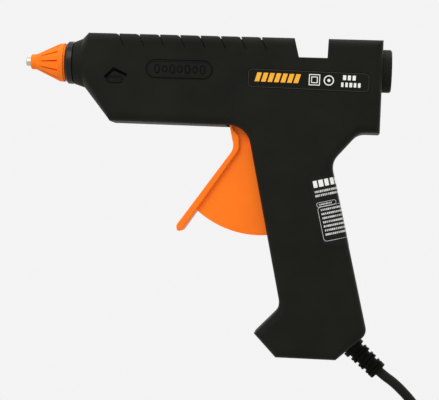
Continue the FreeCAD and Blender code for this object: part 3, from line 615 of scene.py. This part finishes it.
class GLUE_GUN_OT_side_label(bpy.types.Operator):
    """Film in the barrel's pocket, with a block row, plain symbols and bars"""
    bl_idname = "glue_gun.side_label"
    bl_label = "Side label"

    def execute(self, context):
        dress("side_label")
        pale = finish_of("pale_ink")
        colour = bars("accent_ink", (7, 1), (3.4, 1), (2.4, 4.7), centre=(15.9, 0.6), slant=0.28)
        mapped(colour, on_label)
        new_piece("label_block_row", colour)
        marks = []
        for half in (2.9, 1.7):
            marks.append(round_frame((35.1 - half) * MM, (35.1 + half) * MM, (0.4 - half) * MM,
                                     (0.4 + half) * MM, 0.25 * MM, 0.42 * MM, INK, pale))
        marks.append(round_frame(39.9 * MM, 45.3 * MM, -2.3 * MM, 3.1 * MM, 2.69 * MM, 0.55 * MM,
                                 INK, pale))
        marks.append(plate(rounded(41.8 * MM, 43.4 * MM, -0.4 * MM, 1.2 * MM, 0.78 * MM), INK, pale))
        marks.append(bars("pale_ink", (3, 1), (2.5, 1), (1.7, 2.5), centre=(53.2, 2.2),
                          least=0.8, seed=3))
        marks.append(bars("pale_ink", (5, 1), (2.2, 1), (1.5, 2.3), centre=(54.1, -1.5),
                          least=0.75, seed=8))
        new_piece("label_marks", mapped(joined("label_marks", marks), on_label))
        length = (LABEL_RIGHT - LABEL_LEFT).length
        # Painted highlight: a thin pale frame just inside the label's edge, where light catches the rim
        # of its pocket
        edge_highlight = round_frame(0.45 * MM, length - 0.5 * MM, -4.7 * MM, 4.7 * MM, 2.0 * MM, 0.2 * MM,
                             INK, finish_of("border_ink"))
        new_piece("label_border", mapped(edge_highlight, on_label))
        return {"FINISHED"}


# --------------------------------------------------------------- ornaments
ORNAMENT = 0.3 * MM           # how far the raised ornaments stand out of the side
CHEVRON = [(-109.4, 78.6), (-108.6, 77.6), (-104.2, 81.8), (-97.6, 78.8), (-97.2, 80.0),
           (-104.4, 83.4)]
CAPSULE_BARS, BAR_PITCH = 7, 4.0                   # bars in the raised capsule, in millimetres


def stadium(x, z, length, height, line, material):
    """Line round a stadium standing upright in the gun's XZ plane; sizes in millimetres."""
    half = min(length, height) / 2 * MM - 0.01 * MM
    return round_frame((x - length / 2) * MM, (x + length / 2) * MM, (z - height / 2) * MM,
                       (z + height / 2) * MM, half, line * MM, INK, material)


class GLUE_GUN_OT_ornaments(bpy.types.Operator):
    """Painted shade lines round the raised capsule, bars and oval, and the black chevron, on the
    labelled side
    """
    bl_idname = "glue_gun.ornaments"
    bl_label = "Ornaments"

    def execute(self, context):
        black = finish_of("black_ink")
        painted_shade = finish_of("dark_ink")
        # Painted shade: dark lines round the raised capsule, its bars and the oval, where shade falls
        # at the edges of the relief
        raised = [stadium(-69.8, 83.3, 35.2, 9.8, 0.5, painted_shade),
                  stadium(-103.7, 77.0, 8.6, 3.6, 0.5, painted_shade),
                  plate([(x * MM, z * MM) for x, z in CHEVRON], INK, black)]
        for i in range(CAPSULE_BARS):
            height = 4.6 - 1.2 * (i % 2)
            raised.append(stadium(-81.4 + BAR_PITCH * i, 83.3, 2.6, height, 0.45, painted_shade))
        mesh = joined("ornament_lines", raised)
        mapped(mesh, lambda x, y, z: Vector((x, HOUSING_SIDE - ORNAMENT - z, y)))
        new_piece("ornament_lines", mesh)
        return {"FINISHED"}


# ---------------------------------------------------------------- sticker
GRIP_BACK_TOP = Vector((11.6, 37.3)) * MM          # the grip's straight back edge, X and Z
GRIP_BACK_FOOT = Vector((33.2, -52.0)) * MM
STICKER_CORNER = Vector((-0.2, 29.8)) * MM         # upper front corner of the sticker
EDGE_ROUND = 4.2 * MM                              # rounding of the grip's back edge
FILM = 0.2 * MM                                    # thickness of the sticker
SIDE_CUTS = 16                                     # pieces of a printed frame's straight side


def on_grip(x, y, z):
    """Point of the sticker's sheet (back from its corner, up, out) wrapped on the grip."""
    down = (GRIP_BACK_FOOT - GRIP_BACK_TOP).normalized()
    front = Vector((down.y, -down.x))
    offset = STICKER_CORNER - GRIP_BACK_TOP
    depth, out = offset.dot(front), FILM + z
    over = x - (depth - EDGE_ROUND)
    quarter = EDGE_ROUND * pi / 2
    if over <= 0:
        inward, across = depth - x, HOUSING_SIDE - out
    elif over <= quarter:
        angle = over / EDGE_ROUND
        inward = EDGE_ROUND - (EDGE_ROUND + out) * sin(angle)
        across = HOUSING_SIDE + EDGE_ROUND - (EDGE_ROUND + out) * cos(angle)
    else:
        inward, across = -out, HOUSING_SIDE + EDGE_ROUND + over - quarter
    flat = GRIP_BACK_TOP + front * inward + down * (offset.dot(down) - y)
    return Vector((flat.x, across, flat.y))


class GLUE_GUN_OT_rating_sticker(bpy.types.Operator):
    """Sticker wrapped round the grip's back edge, with plain blocks, bars and a table"""
    bl_idname = "glue_gun.rating_sticker"
    bl_label = "Rating sticker"

    def execute(self, context):
        dress("rating_sticker")
        marks = [
            bars("pale_ink", (5, 1), (3.0, 1), (2.4, 3.6), centre=(8.6, -5.3), least=0.7, seed=5),
            bars("fine_ink", (20, 2), (0.95, 2.1), (0.9, 1.1), centre=(10.8, -10.4), least=0.5,
                 seed=9),
            bars("fine_ink", (8, 1), (0.85, 1), (0.78, 0.75), centre=(5.8, -16.2), least=0.55,
                 seed=4),
            bars("fine_ink", (18, 7), (0.97, 2.17), (0.92, 1.0), centre=(11.2, -25.6), least=0.5,
                 seed=12),
        ]
        fine = finish_of("fine_ink")
        marks.append(subdivided_frame(1.1, 11.4, -17.4, -15.0, 0.9, 0.2, fine))
        marks.append(subdivided_frame(1.1, 21.6, -35.6, -17.4, 1.6, 0.2, fine))
        new_piece("sticker_print", mapped(joined("sticker_print", marks), on_grip))
        return {"FINISHED"}


def subdivided_frame(x0, x1, y0, y1, radius, line, material):
    """Rounded frame whose long sides are cut fine enough to wrap; sizes in millimetres."""
    def ring(inset):
        corners = rounded(x0 + inset, x1 - inset, y0 + inset, y1 - inset, max(radius - inset, 0.1))
        points = []
        for i, (ax, ay) in enumerate(corners):
            bx, by = corners[(i + 1) % len(corners)]
            steps = SIDE_CUTS if i % (CORNER_STEPS + 1) == CORNER_STEPS else 1
            points += [((ax + (bx - ax) * k / steps) * MM, (ay + (by - ay) * k / steps) * MM)
                       for k in range(steps)]
        return points
    return plate(ring(0.0), INK, material, ring(line))


# ------------------------------------------------------------ cord and strap
RELIEF_START = Vector((25.1, 0.0, -58.8)) * MM          # the sleeve's collar on the grip's heel
RELIEF_WAY = Vector((cos(radians(42)), 0.0, -sin(radians(42))))
CORD_INSIDE = 9.5                                       # cord inside the grip, millimetres
HANK = Vector((57.1, 0.0, -157.6)) * MM                 # middle of the tied hank
HALF_RUN = 30.0 * MM                                    # from its middle to a fold's centre
WAIST = 7.0 * MM                                        # from its middle to a run, under the strap
LAYER = 5.3 * MM                                        # from one turn to the next
FOLD_IN_CORDS = 3                                       # radius of a fold, in cord diameters
LEAD = [(41.6, 0.0, -73.7), (48.9, 0.0, -78.0), (60.4, 0.6, -89.6), (68.5, 3.4, -103.6),
        (72.4, 7.6, -118.0)]
TAIL = [(41.5, -10.6, -121.1), (32.4, -9.6, -112.0), (19.4, -8.0, -112.0), (10.3, -6.0, -121.1),
        (10.3, -6.0, -140.5)]


def arc_guides(cx, cz, radius, start, end, count):
    """Control points whose smooth spline follows an arc."""
    step = (end - start) / count
    reach = radius / cos(step / 2)
    return [(cx + reach * cos(start + step * (i + 0.5)), cz + reach * sin(start + step * (i + 0.5)))
            for i in range(count)]


def hank_half_turn(fold):
    """Control points down one drawn-in run and round the fold below it."""
    swell = (HALF_RUN ** 2 + (fold - WAIST) ** 2) / (4 * (fold - WAIST))
    bow = atan2(HALF_RUN / 2, (swell - (fold - WAIST) / 2))
    run = arc_guides(fold - swell, HALF_RUN, swell, 0.0, -bow, 2)
    run += arc_guides(WAIST + swell, 0.0, swell, pi - bow, pi + bow, 4)
    run += arc_guides(fold - swell, -HALF_RUN, swell, bow, 0.0, 2)
    return run, arc_guides(0.0, -HALF_RUN, fold, 0.0, -pi, 6)


def hank_points(diameter, layers):
    """Control points of the whole hank, layer beside layer, from the lead to the tail."""
    run, fold = hank_half_turn(FOLD_IN_CORDS * diameter)
    first, points = (layers - 1) / 2 * LAYER, []
    for half in range(2 * layers):
        side = 1 if half % 2 == 0 else -1
        level = first - (half // 2) * LAYER
        for x, z in run:
            points.append(HANK + Vector((side * x, level, side * z)))
        if half == 2 * layers - 1:
            break
        for k, (x, z) in enumerate(fold):
            shift = (k + 0.5) / len(fold) * LAYER if side < 0 else 0.0
            points.append(HANK + Vector((side * x, level - shift, side * z)))
    return points


class GLUE_GUN_OT_power_cord(bpy.types.Operator):
    """Mains cord from the sleeve into its tied hank and on to the plug"""
    bl_idname = "glue_gun.power_cord"
    bl_label = "Power cord"

    def execute(self, context):
        sizes = context.scene.glue_gun_cord
        route = [RELIEF_START - RELIEF_WAY * CORD_INSIDE * MM]
        route += [Vector(p) * MM for p in LEAD]
        route += hank_points(sizes.diameter, sizes.layers)
        route += [Vector(p) * MM for p in TAIL]
        curve = bpy.data.curves.new("power_cord", "CURVE")
        curve.dimensions = "3D"
        spline = curve.splines.new("NURBS")
        spline.points.add(len(route) - 1)
        for point, place in zip(spline.points, route):
            point.co = (*place, 1.0)
        spline.order_u = 3
        spline.use_endpoint_u = True
        curve.resolution_u = 6
        curve.bevel_depth = sizes.diameter / 2
        curve.bevel_resolution = 5
        curve.materials.append(finish_of("cord_rubber"))
        piece = new_piece("power_cord", curve)
        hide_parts("cord", "cord_hank", "cord_tail")
        strap = hank_strap(sizes.diameter, sizes.layers)
        return {"FINISHED"}


STRAP_THICK, STRAP_WIDTH, STRAP_CORNER = 0.9 * MM, 10.0 * MM, 2.4 * MM
STRAP_LAP = 0.22                                        # share of the loop lapped over itself
STRAP_STEP, STRAP_STEP_LENGTH = 0.93, 0.08              # where it climbs onto itself, in shares
STRAP_ROWS = 6                                          # pieces across its width


def hank_strap(diameter, layers):
    """Strap drawn round the hank's waist, its end lapped over itself."""
    half_x, half_y = WAIST + diameter / 2, layers * LAYER / 2
    loop = rounded(-half_x, half_x, -half_y, half_y, STRAP_CORNER, 6)
    lengths = [hypot(loop[i][0] - loop[i - 1][0], loop[i][1] - loop[i - 1][1])
               for i in range(len(loop))]
    total = sum(lengths)
    builder, rows, walked = bmesh.new(), [], 0.0
    for i in range(int(len(loop) * (1 + STRAP_LAP))):
        x, y = loop[i % len(loop)]
        climb = min(1.0, max(0.0, (walked / total - STRAP_STEP) / STRAP_STEP_LENGTH))
        away = Vector((x, y)).normalized() * STRAP_THICK * 1.15 * climb
        rows.append([builder.verts.new((HANK.x + x + away.x, HANK.y + y + away.y,
                                        HANK.z + STRAP_WIDTH * (k / STRAP_ROWS - 0.5)))
                     for k in range(STRAP_ROWS + 1)])
        walked += lengths[(i + 1) % len(loop)]
    for near, far in zip(rows, rows[1:]):
        for k in range(STRAP_ROWS):
            builder.faces.new((near[k], far[k], far[k + 1], near[k + 1]))
    for face in builder.faces:
        face.smooth = True
    mesh = bpy.data.meshes.new("hank_strap")
    builder.to_mesh(mesh)
    builder.free()
    mesh.materials.append(finish_of("tie_fabric"))
    piece = new_piece("hank_strap", mesh)
    solid = piece.modifiers.new("thickness", "SOLIDIFY")
    solid.thickness, solid.offset = STRAP_THICK, 1.0
    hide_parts("hank_tie")
    return piece


# ------------------------------------------------------------ carried-over parts
class GLUE_GUN_OT_housing(bpy.types.Operator):
    """The two halves, their rings and the screws that hold them"""
    bl_idname = "glue_gun.housing"
    bl_label = "Housing"

    def execute(self, context):
        dress("left_housing_shell", "right_housing_shell", "rear_guide_ring", "nose_collar",
              "housing_screws")
        return {"FINISHED"}


class GLUE_GUN_OT_hot_end(bpy.types.Operator):
    """Nozzle with its cap, and the heated chamber with what holds it"""
    bl_idname = "glue_gun.hot_end"
    bl_label = "Hot end"

    def execute(self, context):
        dress("nozzle", "nozzle_cap", "melt_chamber", "ptc_heater", "heater_insulation", "heater_clip",
              "inlet_sleeve", "sleeve_clamp", "front_support", "rear_support")
        return {"FINISHED"}


class GLUE_GUN_OT_trigger_and_feed(bpy.types.Operator):
    """Trigger, its pin and spring, and the carriage that pushes the stick"""
    bl_idname = "glue_gun.trigger_and_feed"
    bl_label = "Trigger and feed"

    def execute(self, context):
        dress("trigger", "trigger_pin", "return_spring", "spring_post", "feed_carriage", "feed_pin",
              "gripper_jaw", "jaw_pin")
        return {"FINISHED"}


class GLUE_GUN_OT_cord_fittings(bpy.types.Operator):
    """Sleeve, clamp and wires at the gun's end of the cord, and the plug at the other"""
    bl_idname = "glue_gun.cord_fittings"
    bl_label = "Cord fittings"

    def execute(self, context):
        dress("strain_relief", "cord_clamp", "clamp_screws", "lead_wires", "plug_body", "plug_pins")
        return {"FINISHED"}


# ------------------------------------------------------------------ stage
AIM = Vector((-47.2, 0.0, 15.4)) * MM              # what the camera looks at
LIGHTS = {                                         # place, share of the key's power, size
    "key_light": ((-0.45, -0.75, 0.75), 1.0, 0.7),
    "top_light": ((0.1, 0.1, 1.0), 0.8, 0.6),
    "back_light": ((0.5, 0.9, 0.4), 0.7, 0.7),
}
SEEN_SURROUND = 0.9                                # how bright the surround looks


class GLUE_GUN_OT_camera(bpy.types.Operator):
    """Long lens level with the gun, looking at its labelled side"""
    bl_idname = "glue_gun.camera"
    bl_label = "Camera"

    def execute(self, context):
        stage = context.scene.glue_gun_stage
        turn, roll = stage.azimuth, stage.roll
        right, up = Vector((cos(turn), sin(turn), 0)), Vector((0, 0, 1))
        ahead = Vector((-sin(turn), cos(turn), 0))
        data = bpy.data.cameras.new("camera")
        data.lens, data.sensor_width = stage.lens, 36.0
        data.clip_start, data.clip_end = 0.01, 20.0
        camera = bpy.data.objects.new("camera", data)
        context.scene.collection.objects.link(camera)
        axes = (right * cos(roll) + up * sin(roll), up * cos(roll) - right * sin(roll), -ahead)
        turned = Matrix([[axis[row] for axis in axes] for row in range(3)])
        camera.matrix_world = Matrix.Translation(AIM - ahead * stage.distance) @ turned.to_4x4()
        context.scene.camera = camera
        return {"FINISHED"}


def soft_light(name, place, power, size):
    """Square area light aimed at the gun."""
    data = bpy.data.lights.new(name, "AREA")
    data.energy, data.size = power, size
    light = bpy.data.objects.new(name, data)
    bpy.context.scene.collection.objects.link(light)
    light.location = place
    light.rotation_euler = (AIM - Vector(place)).to_track_quat("-Z", "Y").to_euler()


def pale_world(strength):
    """Even pale surround, seen a little brighter than it lights."""
    world = bpy.data.worlds.new("surround")
    world.use_nodes = True
    nodes, links = world.node_tree.nodes, world.node_tree.links
    nodes.clear()
    lit, seen = nodes.new("ShaderNodeBackground"), nodes.new("ShaderNodeBackground")
    for shade, value in ((lit, strength), (seen, SEEN_SURROUND)):
        shade.inputs["Color"].default_value = (1.0, 1.0, 1.0, 1.0)
        shade.inputs["Strength"].default_value = value
    mix, path = nodes.new("ShaderNodeMixShader"), nodes.new("ShaderNodeLightPath")
    links.new(path.outputs["Is Camera Ray"], mix.inputs[0])
    links.new(lit.outputs[0], mix.inputs[1])
    links.new(seen.outputs[0], mix.inputs[2])
    links.new(mix.outputs[0], nodes.new("ShaderNodeOutputWorld").inputs["Surface"])
    bpy.context.scene.world = world


class GLUE_GUN_OT_stage(bpy.types.Operator):
    """Round pale floor under the hank, soft lights and an even surround"""
    bl_idname = "glue_gun.stage"
    bl_label = "Stage"

    def execute(self, context):
        stage = context.scene.glue_gun_stage
        pale_world(stage.surround)
        context.scene.view_settings.view_transform = "Standard"
        for name, (place, share, size) in LIGHTS.items():
            soft_light(name, place, stage.key_power * share, size)
        builder = bmesh.new()
        bmesh.ops.create_circle(builder, cap_ends=True, segments=96, radius=stage.floor_radius)
        level = Vector((AIM.x, 0.0, CAD_BOX[0].z - 0.5 * MM))
        bmesh.ops.translate(builder, verts=builder.verts, vec=level)
        mesh = bpy.data.meshes.new("floor")
        builder.to_mesh(mesh)
        builder.free()
        mesh.materials.append(pale_floor())
        floor = bpy.data.objects.new("floor", mesh)
        context.scene.collection.objects.link(floor)
        return {"FINISHED"}


# ------------------------------------------------------------------ add-on
STEPS = (GLUE_GUN_OT_camera, GLUE_GUN_OT_power_cord, GLUE_GUN_OT_housing, GLUE_GUN_OT_hot_end,
         GLUE_GUN_OT_trigger_and_feed, GLUE_GUN_OT_cord_fittings, GLUE_GUN_OT_side_label,
         GLUE_GUN_OT_ornaments, GLUE_GUN_OT_rating_sticker, GLUE_GUN_OT_stage)
GROUPS = {"glue_gun_finishes": GunFinishes, "glue_gun_cord": CordSizes, "glue_gun_stage": StageSizes}


class GLUE_GUN_PT_panel(bpy.types.Panel):
    """Sizes, colours and steps of the glue gun"""
    bl_idname = "GLUE_GUN_PT_panel"
    bl_label = "Glue gun"
    bl_space_type = "VIEW_3D"
    bl_region_type = "UI"
    bl_category = "Glue gun"

    def draw(self, context):
        for group in GROUPS:
            settings = getattr(context.scene, group)
            box = self.layout.box()
            for key in settings.bl_rna.properties.keys():
                if key not in ("rna_type", "name"):
                    box.prop(settings, key)
        for step in STEPS:
            self.layout.operator(step.bl_idname)


def register():
    for made in (*GROUPS.values(), *STEPS, GLUE_GUN_PT_panel):
        bpy.utils.register_class(made)
    for name, group in GROUPS.items():
        setattr(bpy.types.Scene, name, bpy.props.PointerProperty(type=group))


def unregister():
    for name in GROUPS:
        delattr(bpy.types.Scene, name)
    for made in reversed((*GROUPS.values(), *STEPS, GLUE_GUN_PT_panel)):
        bpy.utils.unregister_class(made)


def main():
    """Build the whole scene."""
    register()
    for step in STEPS:
        getattr(bpy.ops.glue_gun, step.bl_idname.split(".")[1])()


if __name__ == "__main__":
    main()
